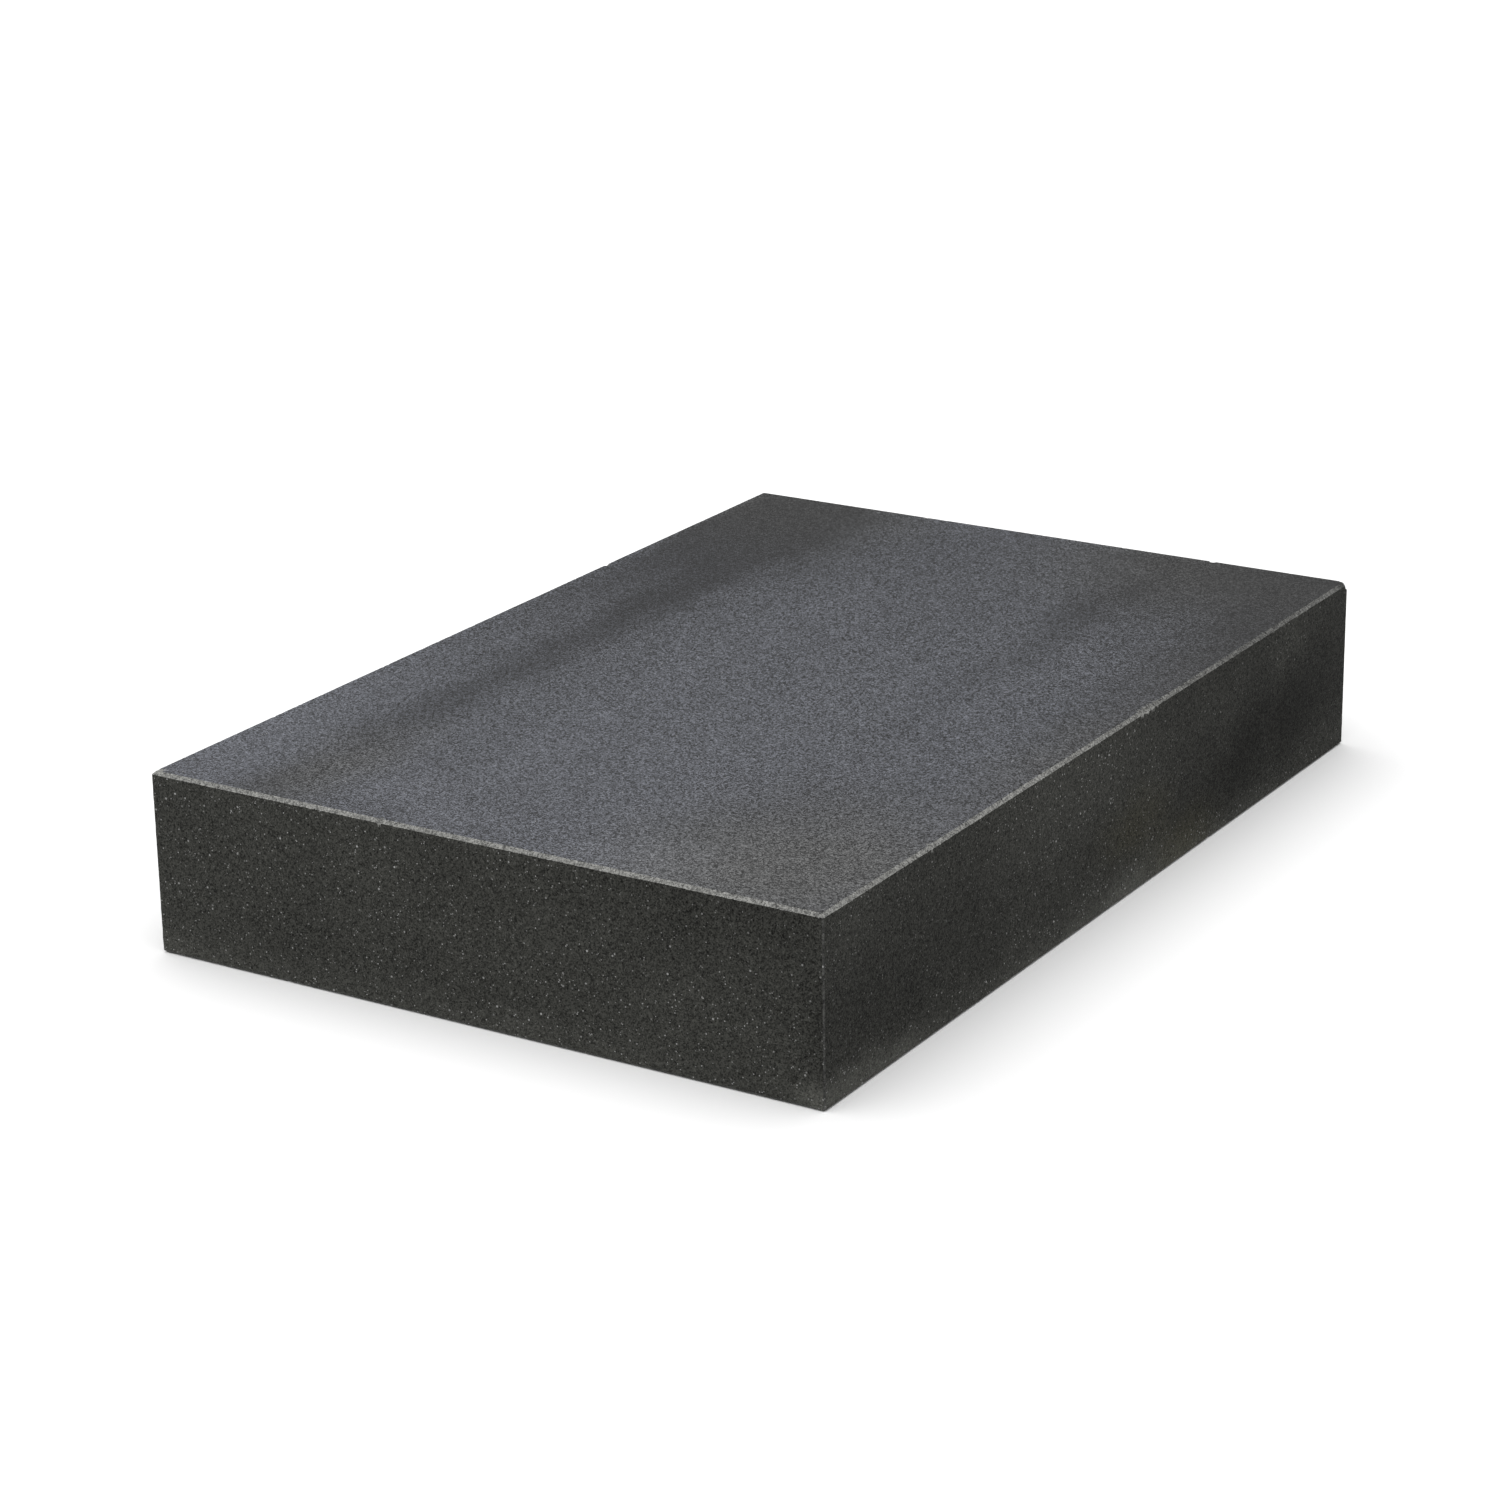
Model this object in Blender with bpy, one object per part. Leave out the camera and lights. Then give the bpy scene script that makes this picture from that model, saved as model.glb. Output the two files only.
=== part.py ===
"""Granite slab for leather tooling: one block of dark granite that stands on its sawn underside.

Metres, +Z up. The origin is the middle of the underside. X runs across the slab, from one long side
to the other, and Y runs along it, from one end to the other.
"""

import bmesh
import bpy

# Driving dimensions
WIDTH = 0.3048  # across, 12 in
LENGTH = 0.4572  # along, 18 in
THICKNESS = 0.0762  # 3 in
TOP_CHAMFER = 0.0015  # 45 degree chamfer around the honed working face
BOTTOM_ARRIS = 0.0008  # 45 degree arris around the underside
CORNER_ARRIS = 0.0007  # how far each upright corner is cut back along both sides

# The stone, as the honed top shows it: colour in linear light
STONE_COLOUR = (0.100, 0.102, 0.110, 1.0)
STONE_ROUGHNESS = 0.5


def clear_scene():
    for obj in list(bpy.data.objects):
        bpy.data.objects.remove(obj, do_unlink=True)


def cut_corner_outline(inset, height):
    """The slab's plan, drawn in by inset, with its four corners cut, anticlockwise from above."""
    half_width = WIDTH / 2 - inset
    half_length = LENGTH / 2 - inset
    outline = []
    for side_x, side_y in ((1, 1), (-1, 1), (-1, -1), (1, -1)):
        on_long_side = (side_x * half_width, side_y * (half_length - CORNER_ARRIS), height)
        on_end = (side_x * (half_width - CORNER_ARRIS), side_y * half_length, height)
        outline += [on_long_side, on_end] if side_x == side_y else [on_end, on_long_side]
    return outline


def stack_outlines(outlines):
    """A closed solid whose surface runs from the lowest outline up to the highest."""
    mesh = bmesh.new()
    rings = [[mesh.verts.new(point) for point in outline] for outline in outlines]
    for lower, upper in zip(rings, rings[1:]):
        for i in range(len(lower)):
            j = (i + 1) % len(lower)
            mesh.faces.new((lower[i], lower[j], upper[j], upper[i]))
    mesh.faces.new(list(reversed(rings[0])))
    mesh.faces.new(rings[-1])
    return mesh


def stone_material():
    material = bpy.data.materials.new("honed_granite")
    material.use_nodes = True
    surface = material.node_tree.nodes["Principled BSDF"]
    surface.inputs["Base Color"].default_value = STONE_COLOUR
    surface.inputs["Roughness"].default_value = STONE_ROUGHNESS
    surface.inputs["Metallic"].default_value = 0.0
    return material


def granite_slab():
    """The block itself: flat faces, with a chamfer round the top and a small arris elsewhere."""
    outlines = [
        cut_corner_outline(BOTTOM_ARRIS, 0.0),
        cut_corner_outline(0.0, BOTTOM_ARRIS),
        cut_corner_outline(0.0, THICKNESS - TOP_CHAMFER),
        cut_corner_outline(TOP_CHAMFER, THICKNESS),
    ]
    solid = stack_outlines(outlines)
    mesh = bpy.data.meshes.new("granite_slab")
    solid.to_mesh(mesh)
    solid.free()
    slab = bpy.data.objects.new("granite_slab", mesh)
    slab.data.materials.append(stone_material())
    bpy.context.scene.collection.objects.link(slab)
    return slab


clear_scene()
granite_slab()
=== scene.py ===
"""Granite slab for leather tooling: the stone as it shows, with its finishes, floor, light and camera.

Metres, +Z up, in the CAD model's frame: the origin is the middle of the underside, X runs across the
slab and Y along it.
"""

import math

import bpy
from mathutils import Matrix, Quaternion, Vector, noise
from mathutils.geometry import delaunay_2d_cdt


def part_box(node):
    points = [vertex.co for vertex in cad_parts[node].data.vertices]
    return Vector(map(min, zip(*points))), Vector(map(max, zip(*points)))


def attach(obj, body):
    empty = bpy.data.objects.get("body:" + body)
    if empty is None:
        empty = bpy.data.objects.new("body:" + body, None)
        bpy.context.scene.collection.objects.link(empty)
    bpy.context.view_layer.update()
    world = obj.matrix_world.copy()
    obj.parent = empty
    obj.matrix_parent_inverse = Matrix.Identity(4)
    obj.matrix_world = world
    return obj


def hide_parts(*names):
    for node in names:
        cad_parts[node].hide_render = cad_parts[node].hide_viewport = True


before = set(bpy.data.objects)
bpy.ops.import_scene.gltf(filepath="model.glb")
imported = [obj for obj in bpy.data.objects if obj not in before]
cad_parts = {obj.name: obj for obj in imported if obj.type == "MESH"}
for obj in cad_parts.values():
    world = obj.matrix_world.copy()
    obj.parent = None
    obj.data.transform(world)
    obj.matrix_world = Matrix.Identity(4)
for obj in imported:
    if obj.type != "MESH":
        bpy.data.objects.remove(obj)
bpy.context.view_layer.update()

# ---------------------------------------------------------------- sizes, from the CAD model

NODE = "granite_slab"
low, high = (Vector(corner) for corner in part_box(NODE))
WIDTH, LENGTH, THICKNESS = high - low
levels = sorted({round(vertex.co.z, 6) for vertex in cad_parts[NODE].data.vertices})
BOTTOM_ARRIS = levels[1] - levels[0]
TOP_CHAMFER = levels[3] - levels[2]

# ---------------------------------------------------------------- the stone's shape

PITCH = 0.0006  # spacing of the points along every edge
FIRST_SPACING = 1.5 * PITCH  # spacing of the first ring of points inside a flat face's rim
RING_GROWTH = 1.7  # how much coarser each ring inside it is
COARSEST = 0.012  # spacing of the points in the middle of a flat face
RIM_MARGIN = 1.6 * PITCH  # the first ring's distance from the rim, where nothing is nibbled away
KEEP_INSIDE = 1  # tells the triangulation to drop what lies outside the rim
SAME_POINT = 1e-7  # points closer than this are taken as one
CORNER_RADIUS = 0.0006  # rounding of the four upright corners
CORNER_STEPS = 4
CHAMFER_STEPS = 4
ARRIS_STEPS = 2
CHAMFER_WOBBLE = 0.00012  # slow change in the chamfer's width, from hand grinding
CHAMFER_WOBBLE_LENGTH = 0.025
CRUMBLE = 0.0008  # deepest nibble out of the chamfer's two edges
NIBBLE_SIZE = 0.0016
FINE_NIBBLE_SIZE = 0.0007
NIBBLE_THRESHOLD = 0.18  # how strong the noise is before it breaks stone away
NIBBLE_CLUSTER_SIZE = 0.012  # stretches with many nibbles, and between them stretches with few
NIBBLE_ALLOWANCE = 0.00014  # the clean chamfer is this much narrower, as nibbles only widen it
BOTTOM_SHARE = 0.8  # how much the arris under the slab is nibbled, for the chamfer's 1
GROUND_RELIEF = 0.00010  # roughness of the ground chamfer
RELIEF_SIZE = 0.0009
FINE_RELIEF_SIZE = 0.0005
CORNER_UNEVENNESS = 0.35  # how much of the upright corners' rounding comes and goes
CORNER_UNEVENNESS_LENGTH = 0.004

# Finishes, in the order of the material slots
HONED, GROUND, BROKEN, WORN, SAWN = range(5)

# Small breaks in the edges. A ball cuts each one: the side it is on, its place along that side from
# the side's middle, and the ball's radius. The ball's middle stands off the edge's bevel.
SIDES = {"right": (1, 0), "rear": (0, 1), "left": (-1, 0), "near": (0, -1)}
CHIP_STANDOFF = 0.0025
TOP_CHIPS = (
    ("right", 0.0240, 0.0030),  # four together make one crumbled stretch
    ("right", 0.0285, 0.0034),
    ("right", 0.0330, 0.0032),
    ("right", 0.0375, 0.0028),
    ("right", -0.1500, 0.0028),
    ("right", 0.1430, 0.0027),
    ("near", -0.0420, 0.0028),
    ("rear", -0.0870, 0.0031),
    ("rear", 0.0610, 0.0028),
    ("left", -0.0900, 0.0032),
    ("left", 0.0760, 0.0028),
)
FOOT_CHIPS = (
    ("right", 0.0900, 0.0032),
    ("near", -0.0900, 0.0029),
    ("rear", 0.0350, 0.0034),
    ("left", -0.1350, 0.0030),
)
# Breaks at the corners: the middle of the ball and its radius
CORNER_CHIPS = (
    (Vector((-0.1498, -0.2260, 0.0790)), 0.0034),
    (Vector((0.1536, -0.2298, 0.0008)), 0.0026),
    (Vector((-0.1538, 0.2300, -0.0005)), 0.0034),
    (Vector((-0.1534, 0.2296, 0.0480)), 0.0022),
    (Vector((0.1534, -0.2294, 0.0280)), 0.0015),
)
BREAK_UNEVENNESS = 0.12  # how much a ball's radius comes and goes over its surface
BREAK_GRAIN = 0.0014

# The rear right top corner is worn round
WORN_CORNER = Vector((WIDTH / 2, LENGTH / 2, THICKNESS))
WORN_RADIUS = 0.0032
WORN_REACH = 1.1  # the worn surface's distance from its middle, in parts of that radius
WORN_UNEVENNESS = 0.05
WORN_GRAIN = 0.0016


def chip_balls():
    """The middle and the radius of every ball that breaks the stone's edges."""
    balls = list(CORNER_CHIPS)
    edges = (
        (TOP_CHIPS, THICKNESS - TOP_CHAMFER / 2, TOP_CHAMFER, 1),
        (FOOT_CHIPS, BOTTOM_ARRIS / 2, BOTTOM_ARRIS, -1),
    )
    for chips, height, bevel, upwards in edges:
        for side, place, radius in chips:
            out = Vector((*SIDES[side], 0))
            along = Vector((-out.y, out.x, 0))
            half = (WIDTH if out.x else LENGTH) / 2
            edge = out * (half - bevel / 2) + along * place + Vector((0, 0, height))
            slant = (out + Vector((0, 0, upwards))).normalized()
            balls.append((edge + slant * CHIP_STANDOFF, radius))
    return balls


def rough_noise(point, grain):
    """Noise from -1 to 1 that changes over about a grain's width."""
    return noise.noise(point / grain)


def plan_columns():
    """The points round the plan, anticlockwise: side out and along, place along the side, turn."""
    columns = []
    for out in ((1, 0), (0, 1), (-1, 0), (0, -1)):
        along = (-out[1], out[0])
        span = LENGTH if out[0] else WIDTH
        steps = round(span / PITCH)
        columns += [(out, along, 2 * i / steps - 1, 0.0) for i in range(steps + 1)]
        columns += [
            (out, along, 1.0, math.pi / 2 * i / CORNER_STEPS) for i in range(1, CORNER_STEPS)
        ]
    return columns


def corner_radius(column, height):
    """The upright corners' rounding, which wear has made uneven."""
    out, along, place = column[:3]
    rounding = []
    for end in (-1, 1):
        level = height / CORNER_UNEVENNESS_LENGTH
        corner = Vector((out[0] + end * along[0], out[1] + end * along[1], level))
        rounding.append(CORNER_RADIUS * (1 + CORNER_UNEVENNESS * noise.noise(corner)))
    return rounding[0] + (rounding[1] - rounding[0]) * (place + 1) / 2


def plan_point(column, inset, height):
    """A point round the plan, drawn in by inset, at this height."""
    out, along, place, turn = column
    half_out = (WIDTH if out[0] else LENGTH) / 2 - inset
    half_along = (LENGTH if out[0] else WIDTH) / 2 - inset
    radius = corner_radius(column, height)
    outwards = half_out - radius + radius * math.cos(turn)
    sideways = place * (half_along - radius) + radius * math.sin(turn)
    x = out[0] * outwards + along[0] * sideways
    y = out[1] * outwards + along[1] * sideways
    return Vector((x, y, height))


def edge_loss(point):
    """How much wider than its nominal width the chamfer is here, from wavering and from nibbles."""
    slow = CHAMFER_WOBBLE * rough_noise(point, CHAMFER_WOBBLE_LENGTH) - NIBBLE_ALLOWANCE
    bite = rough_noise(point, NIBBLE_SIZE) + 0.4 * rough_noise(point, FINE_NIBBLE_SIZE)
    nibble = max(0.0, bite - NIBBLE_THRESHOLD)
    elsewhere = point + Vector((0.3, 0.1, 0.2))
    cluster = 0.35 + max(0.0, 1.2 * rough_noise(elsewhere, NIBBLE_CLUSTER_SIZE))
    return slow + CRUMBLE * nibble * cluster


def chamfer_ring(column, step):
    """A point on the top chamfer, step of the way down from the honed face."""
    upper = plan_point(column, TOP_CHAMFER, THICKNESS)
    lower = plan_point(column, 0.0, THICKNESS - TOP_CHAMFER)
    upper = plan_point(column, TOP_CHAMFER + edge_loss(upper), THICKNESS)
    lower = plan_point(column, 0.0, THICKNESS - TOP_CHAMFER - edge_loss(lower))
    part = step / CHAMFER_STEPS
    point = upper.lerp(lower, part)
    if 0 < step < CHAMFER_STEPS:
        out = Vector((upper.x, upper.y, 0)).normalized()
        relief = rough_noise(point, RELIEF_SIZE) + 0.6 * rough_noise(point, FINE_RELIEF_SIZE)
        inwards = (lower - upper).normalized().cross(Vector((-out.y, out.x, 0)))
        point += inwards * GROUND_RELIEF * relief
    return point


def bottom_ring(column, step):
    """A point on the arris round the underside, step of the way down from the upright side."""
    upper = plan_point(column, 0.0, BOTTOM_ARRIS)
    lower = plan_point(column, BOTTOM_ARRIS, 0.0)
    upper = plan_point(column, 0.0, BOTTOM_ARRIS + BOTTOM_SHARE * abs(edge_loss(upper)))
    lower = plan_point(column, BOTTOM_ARRIS + BOTTOM_SHARE * abs(edge_loss(lower)), 0.0)
    return upper.lerp(lower, step / ARRIS_STEPS)


class StoneMesh:
    """Collects the stone's points and faces, with a finish for each face."""

    def __init__(self):
        self.points = []
        self.faces = []
        self.finishes = []

    def add_points(self, points):
        first = len(self.points)
        self.points += points
        return list(range(first, len(self.points)))

    def add_face(self, corners, finish):
        self.faces.append(corners)
        self.finishes.append(finish)

    def strip(self, upper, lower, finish):
        """Quads between two closed rings of points, one above the other."""
        for i in range(len(upper)):
            j = (i + 1) % len(upper)
            self.add_face((upper[i], lower[i], lower[j], upper[j]), finish)

    def fill(self, rim, origin, across, up, finish):
        """Triangles over a flat face inside its rim, fine at the rim and coarse in the middle."""
        flat = [
            ((self.points[i] - origin).dot(across), (self.points[i] - origin).dot(up)) for i in rim
        ]
        inner = graded_points(flat)
        border = [(i, (i + 1) % len(rim)) for i in range(len(rim))]
        points = [Vector(point) for point in flat + inner]
        done = delaunay_2d_cdt(points, border, [], KEEP_INSIDE, SAME_POINT)
        places, triangles, sources = done[0], done[2], done[3]
        known = {}
        for i, source in enumerate(sources):
            if source and min(source) < len(rim):
                known[i] = rim[min(source)]
            else:
                place = origin + across * places[i].x + up * places[i].y
                known[i] = self.add_points([place])[0]
        for triangle in triangles:
            self.add_face(tuple(known[i] for i in triangle), finish)


def graded_points(rim):
    """Points inside a nearly rectangular rim, in rings that get coarser, then a coarse grid."""
    xs = [x for x, y in rim]
    ys = [y for x, y in rim]
    left, right, bottom, top = min(xs), max(xs), min(ys), max(ys)
    points = []
    spacing = FIRST_SPACING
    inset = max(CORNER_RADIUS, RIM_MARGIN) + CRUMBLE
    while spacing < COARSEST and min(right - left, top - bottom) / 2 > inset + spacing / 2:
        x0, x1, y0, y1 = left + inset, right - inset, bottom + inset, top - inset
        across = max(1, round((x1 - x0) / spacing))
        upwards = max(1, round((y1 - y0) / spacing))
        for i in range(across):
            step = (x1 - x0) * i / across
            points += [(x0 + step, y0), (x1 - step, y1)]
        for i in range(upwards):
            step = (y1 - y0) * i / upwards
            points += [(x1, y0 + step), (x0, y1 - step)]
        spacing *= RING_GROWTH
        inset += spacing
    x0, x1, y0, y1 = left + inset, right - inset, bottom + inset, top - inset
    if x1 > x0 and y1 > y0:
        across = max(1, round((x1 - x0) / COARSEST))
        upwards = max(1, round((y1 - y0) / COARSEST))
        points += [
            (x0 + (x1 - x0) * i / across, y0 + (y1 - y0) * j / upwards)
            for i in range(across + 1)
            for j in range(upwards + 1)
        ]
    return points


def build_stone():
    """The whole surface: chamfer and arris rings, upright corners, then the six flat faces."""
    stone = StoneMesh()
    columns = plan_columns()
    chamfer = [
        stone.add_points([chamfer_ring(column, step) for column in columns])
        for step in range(CHAMFER_STEPS + 1)
    ]
    arris = [
        stone.add_points([bottom_ring(column, step) for column in columns])
        for step in range(ARRIS_STEPS + 1)
    ]
    for rings, finish in ((chamfer, BROKEN), (arris, WORN)):
        for upper, lower in zip(rings, rings[1:]):
            stone.strip(upper, lower, finish)

    # The first and the last column of each side's flat face
    ends = []
    first = 0
    while first < len(columns):
        last = first
        while last + 1 < len(columns) and columns[last + 1][3] == 0.0 and columns[last + 1][2] > -1:
            last += 1
        ends.append((first, last))
        first = last + CORNER_STEPS

    # Upright corners: each is a sheet of columns from the chamfer's foot down to the arris
    upright = {}
    steps = round((THICKNESS - TOP_CHAMFER - BOTTOM_ARRIS) / PITCH)
    for side, (_, last) in enumerate(ends):
        sheet = []
        for turn in range(CORNER_STEPS + 1):
            i = (last + turn) % len(columns)
            top_index, foot_index = chamfer[-1][i], arris[0][i]
            top_height = stone.points[top_index].z
            foot_height = stone.points[foot_index].z
            heights = [top_height + (foot_height - top_height) * k / steps for k in range(1, steps)]
            middle = stone.add_points([plan_point(columns[i], 0.0, height) for height in heights])
            sheet.append([top_index] + middle + [foot_index])
        for left, right in zip(sheet, sheet[1:]):
            for k in range(steps):
                stone.add_face((left[k], left[k + 1], right[k + 1], right[k]), WORN)
        upright[side, "end"] = sheet[0]
        upright[(side + 1) % 4, "start"] = sheet[-1]

    for side, (first, last) in enumerate(ends):
        out, along = columns[first][0], columns[first][1]
        top_row = chamfer[-1][first : last + 1]
        foot_row = arris[0][first : last + 1]
        start, end = upright[side, "start"], upright[side, "end"]
        rim = foot_row + end[-2:0:-1] + top_row[::-1] + start[1:-1]
        origin = Vector((out[0] * WIDTH / 2, out[1] * LENGTH / 2, 0))
        stone.fill(rim, origin, Vector((*along, 0)), Vector((0, 0, 1)), GROUND)

    stone.fill(chamfer[0], Vector((0, 0, THICKNESS)), Vector((1, 0, 0)), Vector((0, 1, 0)), HONED)
    stone.fill(arris[-1][::-1], Vector((0, 0, 0)), Vector((-1, 0, 0)), Vector((0, 1, 0)), SAWN)
    return stone


def break_edges(stone):
    """Cuts the chips and wears the rear corner, and gives broken faces their finish."""
    broken = set()
    for centre, radius in chip_balls():
        for i, point in enumerate(stone.points):
            offset = point - centre
            if offset.length < radius * (1 + BREAK_UNEVENNESS):
                reach = radius * (1 + BREAK_UNEVENNESS * rough_noise(point, BREAK_GRAIN))
                if offset.length < reach:
                    stone.points[i] = centre + offset.normalized() * reach
                    broken.add(i)
    heart = WORN_CORNER - Vector((WORN_RADIUS, WORN_RADIUS, WORN_RADIUS))
    for i, point in enumerate(stone.points):
        offset = point - heart
        if min(offset) > 0:
            unevenness = WORN_UNEVENNESS * rough_noise(point, WORN_GRAIN)
            reach = WORN_RADIUS * (WORN_REACH + unevenness)
            if offset.length > reach:
                stone.points[i] = heart + offset.normalized() * reach
                broken.add(i)
    for i, corners in enumerate(stone.faces):
        if sum(corner in broken for corner in corners) >= 2:
            high_up = stone.points[corners[0]].z > THICKNESS / 2
            stone.finishes[i] = BROKEN if high_up else WORN


# ---------------------------------------------------------------- the stone's finishes

GRAIN_TURN = (0.5, 0.8, 0.3)  # so that no flat face of the slab lies along a texture's cells
MARK_SHIFT = 0.03  # times noise less a half: it shifts the marks, so that their edges are uneven
MARK_SHIFT_SIZE = 0.045
PALE_CRYSTAL = (0.31, 0.31, 0.305, 1.0)
DIMMEST_CRYSTAL = 0.1
DIMMEST = 0.15  # the least light that the marks leave
DARKEST = 0.05  # the least shade, of a dark crystal in dim stone
FLECK_EDGE = (0.42, 0.26)  # where a fleck begins and where it is full, in cells from its middle
FLECK_LIGHT_LIMIT = 1.1  # brighter stone than this shows its flecks no more strongly


class Tree:
    """A material's node tree, with its Principled shader as the surface."""

    def __init__(self, name):
        self.material = bpy.data.materials.new(name)
        self.material.use_nodes = True
        self.nodes = self.material.node_tree.nodes
        self.links = self.material.node_tree.links
        self.surface = self.nodes["Principled BSDF"]
        self.place = self.nodes.new("ShaderNodeTexCoord").outputs["Object"]
        turned = self.add("Mapping", {"Vector": self.place, "Rotation": GRAIN_TURN})
        self.turned_place = turned.outputs["Vector"]
        waves = {"Vector": self.place, "Scale": 1 / MARK_SHIFT_SIZE, "Detail": 3.0}
        shift = self.add("TexNoise", waves).outputs["Color"]
        centred = self.add("VectorMath", {0: shift, 1: (-0.5, -0.5, -0.5)}).outputs[0]
        shifted = {0: centred, 1: (MARK_SHIFT,) * 3, 2: self.place}
        self.shifted_place = self.add("VectorMath", shifted, operation="MULTIPLY_ADD").outputs[0]

    def put(self, socket, value):
        if isinstance(value, bpy.types.NodeSocket):
            self.links.new(value, socket)
        else:
            socket.default_value = value

    def add(self, kind, inputs, **settings):
        node = self.nodes.new("ShaderNode" + kind)
        for name, value in settings.items():
            setattr(node, name, value)
        for name, value in inputs.items():
            self.put(node.inputs[name], value)
        return node

    def maths(self, operation, a, b=0.0, c=0.0):
        return self.add("Math", {0: a, 1: b, 2: c}, operation=operation).outputs[0]

    def ramp(self, value, start, stop, low=0.0, high=1.0):
        """Low up to start, high from stop, and a smooth step between."""
        inputs = {"Value": value, "From Min": start, "From Max": stop, "To Min": low, "To Max": high}
        return self.add("MapRange", inputs, interpolation_type="SMOOTHSTEP").outputs["Result"]

    def stretch(self, place, scale, offset=(0, 0, 0)):
        """A place scaled along each axis, then moved."""
        inputs = {"Vector": place, "Scale": scale, "Location": offset}
        return self.add("Mapping", inputs).outputs["Vector"]

    def clouds(self, size, detail=2.0, vector=None):
        inputs = {"Vector": vector or self.place, "Scale": 1 / size, "Detail": detail}
        return self.add("TexNoise", inputs).outputs["Fac"]

    def crystals(self, size):
        """A cell for each crystal: the distance from its middle, and two random numbers of its own."""
        inputs = {"Vector": self.turned_place, "Scale": 1 / size}
        node = self.add("TexVoronoi", inputs)
        random = self.add("SeparateColor", {"Color": node.outputs["Color"]})
        return node.outputs["Distance"], random.outputs[0], random.outputs[1]

    def blend(self, factor, first, second):
        inputs = {0: factor, 6: first, 7: second}
        return self.add("Mix", inputs, data_type="RGBA").outputs[2]


def mineral_grain(tree, size, contrast):
    """How bright the stone is from crystal to crystal: around 1, and never below DIMMEST_CRYSTAL."""
    parts = (
        (tree.crystals(size)[1], 1.0),
        (tree.crystals(size * 1.9)[1], 0.4),
        (tree.clouds(size * 0.7, 1.0, tree.turned_place), 0.8),
    )
    grain = 1 - contrast * sum(share for part, share in parts) / 2
    for part, share in parts:
        grain = tree.maths("MULTIPLY_ADD", part, contrast * share, grain)
    return tree.maths("MAXIMUM", grain, DIMMEST_CRYSTAL)


def pale_flecks(tree, size, share, light):
    """How much of a pale crystal shows: this share of cells of this size has one, most of them faint."""
    middle, chance, strength = tree.crystals(size)
    shown = tree.ramp(chance, 1 - share, 1 - share * 0.9)
    shown = tree.maths("MULTIPLY", shown, tree.ramp(middle, *FLECK_EDGE))
    shown = tree.maths("MULTIPLY", shown, tree.maths("POWER", strength, 2.0))
    fade = tree.maths("POWER", tree.maths("MINIMUM", light, FLECK_LIGHT_LIMIT), 3.0)
    return tree.maths("MULTIPLY", shown, fade)


def marked(tree, light, marks):
    """The light with soft marks added: each lightens or darkens the stone around a point."""
    half = Vector((WIDTH / 2, LENGTH / 2, THICKNESS / 2))
    for centre, reach, gain in marks:
        scale = [1 / (part * whole) for part, whole in zip(reach, half)]
        offset = [-part / part_reach for part, part_reach in zip(centre, reach)]
        offset[2] -= scale[2] * THICKNESS / 2  # marks count from the middle, and heights from the foot
        from_centre = tree.stretch(tree.shifted_place, scale, offset)
        away = tree.add("VectorMath", {0: from_centre}, operation="LENGTH")
        spot = tree.ramp(away.outputs["Value"], 1.0, 0.0)
        light = tree.maths("MULTIPLY_ADD", spot, gain, light)
    return light


def dress(tree, tint, grain, light, flecks, roughness, height, relief, depth=1.0):
    """Sets the shader: a tint, its grain and light, pale flecks, a roughness, and a bump in metres.

    Depth is how strongly the grain shows. It shows less in dim stone, by the square root of the light.
    """
    lit = tree.maths("MAXIMUM", light, DIMMEST)
    swing = tree.maths("MULTIPLY", tree.maths("POWER", lit, 0.5), depth)
    shade = tree.maths("MULTIPLY_ADD", tree.maths("SUBTRACT", grain, 1.0), swing, lit)
    shade = tree.maths("MAXIMUM", shade, DARKEST)
    colour = tree.add("VectorMath", {0: tint, "Scale": shade}, operation="SCALE").outputs[0]
    for size, share in flecks:
        colour = tree.blend(pale_flecks(tree, size, share, light), colour, PALE_CRYSTAL)
    bump = tree.add("Bump", {"Strength": 0.5, "Distance": relief, "Height": height})
    tree.put(tree.surface.inputs["Base Color"], colour)
    tree.put(tree.surface.inputs["Roughness"], roughness)
    tree.put(tree.surface.inputs["Normal"], bump.outputs[0])
    return tree.material


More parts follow.
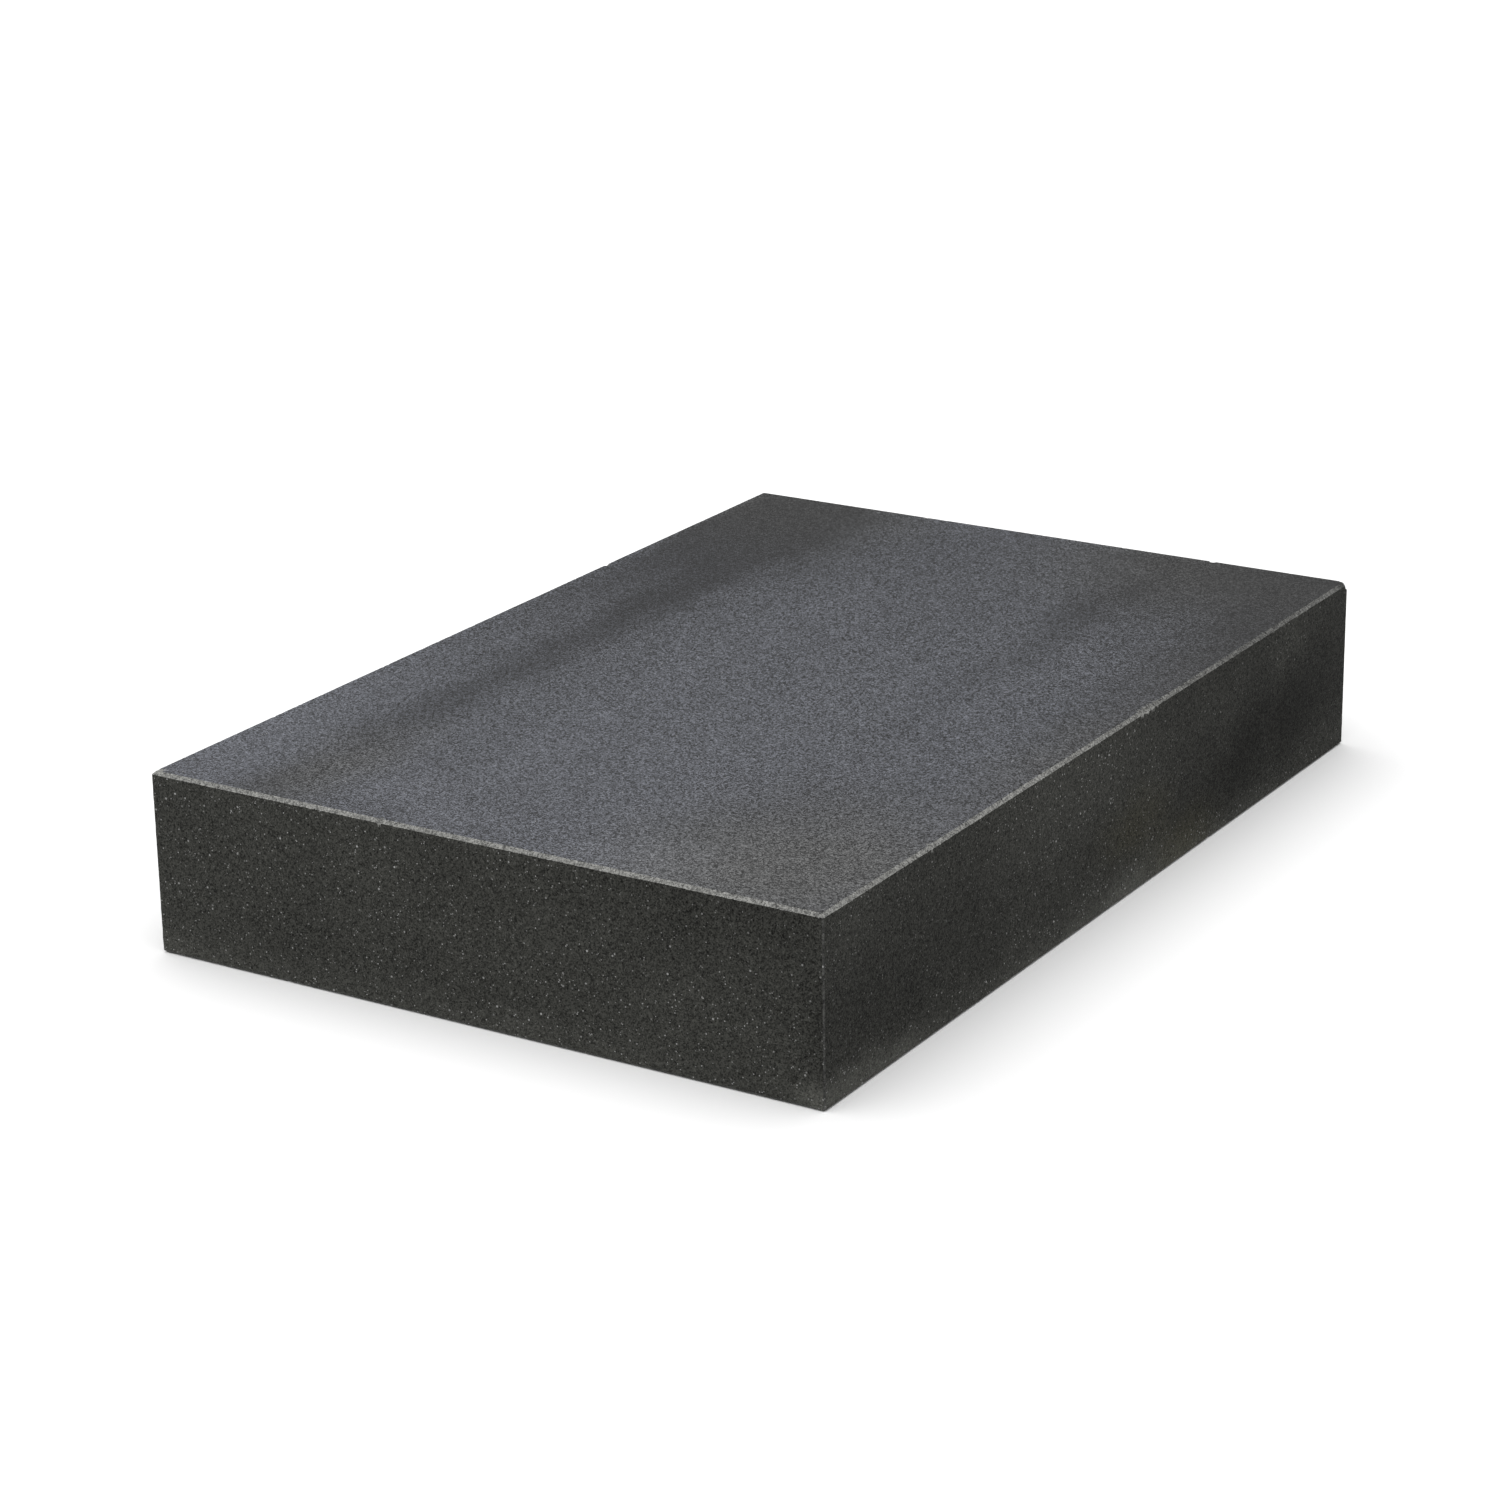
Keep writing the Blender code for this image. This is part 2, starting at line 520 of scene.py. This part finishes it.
# Cloudy marks, in parts of the half width, half length and half thickness from the slab's middle:
# where each is, how far it reaches, and how much lighter or darker the stone is painted there
# The top's marks are partly painted reflection, the dimming towards the rear and the dark rear corners,
# and partly the stone's own, such as the pit and the speck.
HONED_MARKS_AND_PAINTED_REFLECTION = (
    ((0.00, 1.60, 1), (2.50, 1.70, 1), -0.46),  # painted reflection: dimmer towards the rear
    ((-0.80, 0.80, 1), (0.56, 1.05, 1), -0.72),  # rear left corner, painted dark reflection
    ((-0.90, 0.75, 1), (0.25, 0.40, 1), -0.14),
    ((-0.66, -0.10, 1), (0.17, 1.30, 1), -0.44),  # long streak beside the left edge
    ((-0.62, 0.08, 1), (0.36, 0.80, 1), -0.20),
    ((-0.68, -0.95, 1), (0.18, 0.20, 1), -0.20),
    ((-0.68, -0.48, 1), (0.14, 0.40, 1), -0.12),
    ((-1.00, 0.62, 1), (0.07, 0.60, 1), 0.28),  # pale margin at the rear left
    ((-0.10, 1.00, 1), (1.10, 0.035, 1), 0.22),
    ((-0.95, -0.75, 1), (0.35, 0.60, 1), 0.38),
    ((-0.95, 0.30, 1), (0.30, 0.60, 1), -0.22),
    ((0.95, 1.00, 1), (0.95, 0.85, 1), -0.72),  # rear right corner, painted dark reflection
    ((0.47, 0.45, 1), (0.15, 0.80, 1), -0.30),  # fainter streak on the right
    ((1.00, 0.25, 1), (0.30, 0.90, 1), -0.54),
    ((0.80, 0.25, 1), (0.16, 0.50, 1), -0.20),
    ((0.30, 1.00, 1), (0.22, 0.30, 1), -0.20),
    ((-0.36, -0.86, 1), (0.22, 0.14, 1), 0.25),  # pale patches along the front
    ((-0.14, -0.93, 1), (0.16, 0.10, 1), 0.18),
    ((0.45, -0.95, 1), (0.35, 0.14, 1), 0.38),
    ((0.00, -1.00, 1), (0.15, 0.06, 1), -0.15),
    ((0.65, -0.62, 1), (0.45, 0.30, 1), -0.15),
    ((0.76, -0.64, 1), (0.12, 0.08, 1), 0.12),
    ((-0.80, -0.20, 1), (0.10, 0.08, 1), -0.22),  # small smudge
    ((0.27, 0.18, 1), (0.012, 0.008, 1), -0.90),  # a dark pit
    ((-0.56, 0.97, 1), (0.012, 0.008, 1), 1.50),  # a pale speck near the rear edge
    ((0.05, -0.70, 1), (0.75, 0.95, 1), 0.15),
    ((-0.22, -0.55, 1), (0.15, 0.75, 1), 0.12),
    ((-0.30, 0.66, 1), (0.50, 0.40, 1), -0.16),
    ((0.20, 0.52, 1), (0.45, 0.35, 1), -0.10),
    ((0.62, 0.60, 1), (0.40, 0.45, 1), -0.10),
)
# The sides' marks are partly painted light: painted shade over the right side and towards its rear,
# painted floor reflection near the foot; the rest are the stone's own patches.
GROUND_MARKS_AND_PAINTED_LIGHT = (
    ((0.80, -1.00, 1.00), (0.80, 0.12, 1.40), -0.30),  # near end, upper right
    ((-0.95, -1.00, -0.95), (0.25, 0.12, 0.40), 0.30),
    ((0.12, -1.00, -0.95), (0.15, 0.12, 0.30), 0.25),
    ((1.00, 0.00, 0.00), (0.12, 3.00, 4.00), -0.25),  # painted shade all along the right side
    ((1.00, -0.20, 0.60), (0.12, 0.42, 1.10), 0.40),
    ((1.00, 0.62, -0.20), (0.12, 0.50, 1.10), -0.42),
    ((1.00, 0.45, 1.00), (0.12, 0.45, 0.60), -0.14),
    ((1.00, -0.80, -0.10), (0.12, 0.50, 0.80), -0.15),
    ((1.00, 0.12, -0.75), (0.12, 0.25, 0.50), 0.20),
    ((1.00, -0.05, -1.10), (0.12, 1.20, 0.30), 0.80),
    ((1.00, -0.95, -1.00), (0.12, 0.45, 0.42), 1.00),
    ((1.00, 0.85, -1.00), (0.12, 0.35, 0.40), -0.22),
    ((0.85, -1.00, -1.00), (0.45, 0.12, 0.60), -0.20),
    ((1.00, -1.00, 0.80), (0.12, 0.22, 0.90), 0.28),
    ((1.00, 1.00, 0.20), (0.12, 0.55, 1.70), -0.24),
    ((1.00, -0.22, -0.60), (0.12, 0.30, 0.50), 0.15),
    ((1.00, -0.05, -1.05), (0.12, 1.20, 0.45), 0.40),
)
PAINTED_SHEEN_MARKS = (
    ((-0.85, 1.00, 1), (0.70, 0.60, 1), -1.0),  # the rear corners lose the painted bluish sheen and are a neutral grey
    ((0.65, 1.05, 1), (0.80, 0.60, 1), -1.2),
    ((1.00, 0.50, 1), (0.30, 0.80, 1), -0.5),
    ((1.00, -0.20, 1), (0.25, 0.40, 1), -0.6),
    ((0.80, -0.85, 1), (0.70, 0.50, 1), -1.0),
    ((-0.62, -0.85, 1), (0.20, 0.40, 1), -0.7),
)
RUSTY_MARKS = (
    ((1.00, 0.08, -0.25), (0.12, 0.22, 0.60), 0.9),  # a faint rusty stain on the right side
    ((1.00, 0.28, -0.75), (0.12, 0.22, 0.50), 0.8),
)
BROKEN_MARKS = (
    ((1.00, 1.00, 1.00), (0.08, 0.08, 0.50), -0.60),  # the worn corner
    ((1.00, 0.62, 1.00), (0.30, 0.95, 1.00), -0.50),  # darker towards the rear of the right side
)

FOOT_DUST_AND_REFLECTION_HEIGHT = 0.018  # dust and pale scuffs along the foot of the sides, with painted reflection of the white floor lifting their shade there
FOOT_DUST_AND_REFLECTION = 0.35
FOOT_PAINTED_LIGHT_HEIGHT = 0.004  # painted light: the foot of the upright arrises is painted paler up to here, lifting the shade next to the floor
FOOT_PAINTED_LIGHT_GAIN = 1.2

# Tints, in linear light, and how the top's change over it. The top's tints hold part of its sheen as
# painted reflection: the bluish tint is its blue-grey sheen, and they are lighter than the sides' tints.
HONED_NEUTRAL = (0.0540, 0.0545, 0.0545, 1)
# painted reflection: the blue-grey sheen of the satin top, put into its base colour
HONED_PAINTED_SHEEN_TINT = (0.0506, 0.0532, 0.0620, 1)
HONED_PAINTED_SHEEN_SHARE = 0.9  # how much of the painted bluish sheen shows, away from the marks
HONED_DEPTH = (0.95, 1.30)  # how strongly the top's grain shows at its near and its rear end
GROUND_TINT = (0.0350, 0.0353, 0.0318, 1)
GROUND_RUSTY = (0.0400, 0.0385, 0.0285, 1)
BROKEN_TINT = (0.165, 0.165, 0.156)
WORN_TINT = (0.036, 0.0365, 0.0340)
SAWN_TINT = (0.062, 0.062, 0.060)


def honed_finish():
    """The top: lapped flat and left satin, with faint streaks of polish along it. Its colour holds
    painted reflection: a bluish sheen, and darkening towards the rear and at its rear corners.
    """
    tree = Tree("granite_honed")
    grain = mineral_grain(tree, 0.0005, 3.4)
    streaks = tree.clouds(1.0, 3.0, tree.stretch(tree.place, (30, 3, 1)))
    haze = tree.clouds(0.07, 2.0)
    light = tree.maths("MULTIPLY_ADD", streaks, 0.16, 0.87)
    # painted reflection and the stone's own marks, put into the top's light
    light = marked(tree, tree.maths("MULTIPLY_ADD", haze, 0.10, light), HONED_MARKS_AND_PAINTED_REFLECTION)
    # painted reflection: the top's bluish sheen, which fades to neutral grey at these marks
    painted_sheen = marked(tree, HONED_PAINTED_SHEEN_SHARE, PAINTED_SHEEN_MARKS)
    tint = tree.blend(painted_sheen, HONED_NEUTRAL, HONED_PAINTED_SHEEN_TINT)
    flecks = ((0.0008, 0.02),)
    rough = tree.maths("MULTIPLY_ADD", grain, 0.06, 0.40)
    along = tree.add("SeparateXYZ", {"Vector": tree.place}).outputs["Y"]
    depth = tree.ramp(along, -LENGTH / 2, LENGTH / 2, *HONED_DEPTH)
    tree.surface.inputs["Specular IOR Level"].default_value = 0.35
    return dress(tree, tint, grain, light, flecks, rough, grain, 0.00004, depth)


def ground_finish():
    """The sides: ground dark, with light crystals standing out, painted shade on the right side and
    painted floor reflection at the foot.
    """
    tree = Tree("granite_ground")
    grain = mineral_grain(tree, 0.0005, 1.1)
    haze = tree.clouds(0.045, 3.0)
    light = marked(tree, tree.maths("MULTIPLY_ADD", haze, 0.5, 0.78), GROUND_MARKS_AND_PAINTED_LIGHT)
    above = tree.add("SeparateXYZ", {"Vector": tree.place}).outputs["Z"]
    # painted reflection of the white floor, with dust, lightens the foot of the sides
    foot = tree.ramp(above, 0.0, FOOT_DUST_AND_REFLECTION_HEIGHT, FOOT_DUST_AND_REFLECTION, 0.0)
    light = tree.maths("ADD", light, foot)
    rusty = marked(tree, 0.0, RUSTY_MARKS)
    tint = tree.blend(rusty, GROUND_TINT, GROUND_RUSTY)
    flecks = ((0.0008, 0.14), (0.0013, 0.03))
    height = tree.maths("ADD", grain, tree.clouds(0.0015, 3.0))
    rough = tree.maths("MULTIPLY_ADD", haze, 0.16, 0.62)
    tree.surface.inputs["Specular IOR Level"].default_value = 0.04
    return dress(tree, tint, grain, light, flecks, rough, height, 0.0001, 1.1)


def broken_finish():
    """The chamfer and the chips: crushed stone, pale with dust."""
    tree = Tree("granite_broken")
    grain = mineral_grain(tree, 0.0005, 1.3)
    dust = tree.clouds(0.004, 3.0)
    light = marked(tree, tree.maths("MULTIPLY_ADD", dust, 0.8, 0.6), BROKEN_MARKS)
    flecks = ((0.0008, 0.22),)
    height = tree.maths("ADD", grain, tree.clouds(0.0005, 3.0))
    rough = tree.maths("MULTIPLY_ADD", dust, 0.2, 0.7)
    return dress(tree, BROKEN_TINT, grain, light, flecks, rough, height, 0.0001)


def worn_finish():
    """The upright and bottom arrises: ground stone rubbed a little pale, with light crystals, and
    painted light at their foot.
    """
    tree = Tree("granite_worn")
    grain = mineral_grain(tree, 0.0006, 1.2)
    rubbing_and_painted_light = tree.ramp(tree.clouds(0.003, 3.0), 0.35, 0.65, 0.6, 1.5)
    above = tree.add("SeparateXYZ", {"Vector": tree.place}).outputs["Z"]
    # painted light at the foot of the arrises, against the shade next to the floor
    rubbing_and_painted_light = tree.maths("ADD", rubbing_and_painted_light, tree.ramp(above, 0.0, FOOT_PAINTED_LIGHT_HEIGHT, FOOT_PAINTED_LIGHT_GAIN, 0.0))
    flecks = ((0.0008, 0.30), (0.0014, 0.10))
    height = tree.maths("ADD", grain, tree.clouds(0.0005, 3.0))
    rough = tree.maths("MULTIPLY_ADD", rubbing_and_painted_light, 0.1, 0.55)
    tree.surface.inputs["Specular IOR Level"].default_value = 0.2
    return dress(tree, WORN_TINT, grain, rubbing_and_painted_light, flecks, rough, height, 0.0001)


def sawn_finish():
    """The underside: left as the saw made it, with its faint arcs."""
    tree = Tree("granite_sawn")
    grain = mineral_grain(tree, 0.0006, 1.2)
    from_saw = tree.stretch(tree.place, (1, 1, 1), (0.0, 0.9, 0))
    inputs = {"Vector": from_saw, "Scale": 60.0, "Distortion": 0.3}
    arcs = tree.add("TexWave", inputs, wave_type="RINGS", rings_direction="SPHERICAL").outputs["Fac"]
    light = tree.maths("MULTIPLY_ADD", arcs, 0.12, 0.94)
    flecks = ((0.0009, 0.10),)
    height = tree.maths("ADD", grain, tree.maths("MULTIPLY", arcs, 2.0))
    rough = tree.maths("MULTIPLY_ADD", grain, 0.1, 0.62)
    return dress(tree, SAWN_TINT, grain, light, flecks, rough, height, 0.0001)


FINISHES = (honed_finish, ground_finish, broken_finish, worn_finish, sawn_finish)
SHARP_ANGLE = math.radians(28)


def make_stone():
    """The visible slab, in place of its CAD node."""
    stone = build_stone()
    break_edges(stone)
    mesh = bpy.data.meshes.new("granite_stone")
    mesh.from_pydata(stone.points, [], stone.faces)
    for finish in FINISHES:
        mesh.materials.append(finish())
    mesh.polygons.foreach_set("material_index", stone.finishes)
    mesh.shade_smooth()
    mesh.set_sharp_from_angle(angle=SHARP_ANGLE)
    mesh.update()
    piece = bpy.data.objects.new("granite_stone", mesh)
    bpy.context.scene.collection.objects.link(piece)
    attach(piece, "root")
    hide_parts(NODE)


# ---------------------------------------------------------------- floor, light and camera

FLOOR_SIZE = 60.0
FLOOR_DROP = 0.0001  # the gap under the slab
PAPER_TINTS = ((0.88, 0.88, 0.88, 1), (0.90, 0.90, 0.90, 1))
SKY_LIGHT = 0.30  # what the white studio sheds on the stone
SKY_SEEN = 1.0  # how bright it looks to the camera
SUN_WIDTH = math.radians(100)  # wide, so that it is soft
SUN_STRENGTH = 3.4
SUN_TILT = (math.radians(8), math.radians(-4), 0)
CAMERA_AZIMUTH = math.radians(31.82)
CAMERA_ELEVATION = math.radians(19.28)
CAMERA_ROLL = math.radians(-0.83)
CAMERA_DISTANCE = 1.684
CAMERA_AIM = Vector((-0.0244, 0.0146, THICKNESS / 2))
CAMERA_LENS = 94.75
CAMERA_SHIFT = (-0.0054, -0.0089)


def make_floor():
    """A wide pale floor just under the slab."""
    half = FLOOR_SIZE / 2
    mesh = bpy.data.meshes.new("studio_floor")
    corners = [(-half, -half, 0), (half, -half, 0), (half, half, 0), (-half, half, 0)]
    mesh.from_pydata(corners, [], [(0, 1, 2, 3)])
    tree = Tree("studio_paper")
    paper = tree.blend(tree.clouds(0.4, 2.0), *PAPER_TINTS)
    tree.put(tree.surface.inputs["Base Color"], paper)
    tree.surface.inputs["Roughness"].default_value = 0.9
    mesh.materials.append(tree.material)
    floor = bpy.data.objects.new("studio_floor", mesh)
    floor.location.z = -FLOOR_DROP
    bpy.context.scene.collection.objects.link(floor)


def make_world():
    """A plain white studio, brighter to the camera than the light it sheds."""
    world = bpy.data.worlds.new("studio")
    bpy.context.scene.world = world
    world.use_nodes = True
    nodes, links = world.node_tree.nodes, world.node_tree.links
    background = nodes["Background"]
    background.inputs["Color"].default_value = (1, 1, 1, 1)
    seen = nodes.new("ShaderNodeLightPath")
    strength = nodes.new("ShaderNodeMapRange")
    strength.inputs["To Min"].default_value = SKY_LIGHT
    strength.inputs["To Max"].default_value = SKY_SEEN
    links.new(seen.outputs["Is Camera Ray"], strength.inputs["Value"])
    links.new(strength.outputs["Result"], background.inputs["Strength"])


def make_lights():
    """One wide soft light from above, a little from the near left."""
    sun = bpy.data.lights.new("soft_key", "SUN")
    sun.angle = SUN_WIDTH
    sun.energy = SUN_STRENGTH
    lamp = bpy.data.objects.new("soft_key", sun)
    lamp.rotation_euler = SUN_TILT
    bpy.context.scene.collection.objects.link(lamp)


def make_camera():
    """The camera stands at an azimuth and an elevation from its aim, with a slight roll."""
    camera = bpy.data.cameras.new("camera")
    camera.lens = CAMERA_LENS
    camera.shift_x, camera.shift_y = CAMERA_SHIFT
    camera.clip_start, camera.clip_end = 0.05, 100.0
    eye = bpy.data.objects.new("camera", camera)
    flat = math.cos(CAMERA_ELEVATION)
    towards = Vector((
        math.sin(CAMERA_AZIMUTH) * flat,
        -math.cos(CAMERA_AZIMUTH) * flat,
        math.sin(CAMERA_ELEVATION),
    ))
    eye.location = CAMERA_AIM + towards * CAMERA_DISTANCE
    turn = towards.to_track_quat("Z", "Y").to_matrix()
    sight_line = turn @ Vector((0, 0, 1))
    eye.rotation_euler = turn.to_euler()
    eye.rotation_euler.rotate(Quaternion(sight_line, CAMERA_ROLL))
    bpy.context.scene.collection.objects.link(eye)
    bpy.context.scene.camera = eye


make_camera()
make_floor()
make_world()
make_lights()
make_stone()

bpy.context.scene.view_settings.view_transform = "Standard"
